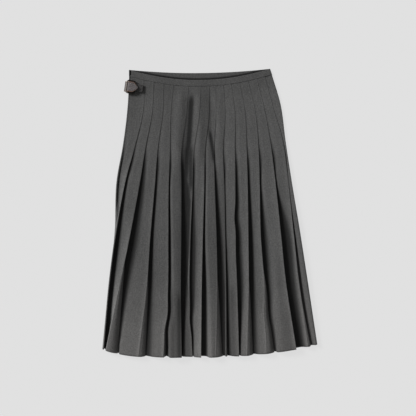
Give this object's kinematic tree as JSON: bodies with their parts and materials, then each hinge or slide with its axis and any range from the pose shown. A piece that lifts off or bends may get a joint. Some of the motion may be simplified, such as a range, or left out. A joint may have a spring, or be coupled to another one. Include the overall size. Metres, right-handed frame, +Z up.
{
  "type": "pleated skirt laid flat",
  "caption": "Knife-pleated wool midi skirt laid flat, pleats sewn down to the hip, with a leather strap and buckle at the waist.",
  "frame": {"origin": "under the middle of the bounding box, on the surface that the skirt lies on", "axes": "+Y from the hem to the waist, +X to the right of the front as seen from above, +Z up out of the front"},
  "size_m": [0.5386, 0.7231, 0.0218],
  "materials": {
    "wool": "matt charcoal wool twill",
    "leather": "satin dark leather",
    "buckle_metal": "aged dark brass"
  },
  "bodies": {
    "root": {"front": "wool", "back": "wool", "waistband": "wool", "strap": "leather", "chape": "leather", "buckle": "buckle_metal"}
  },
  "joints": []
}
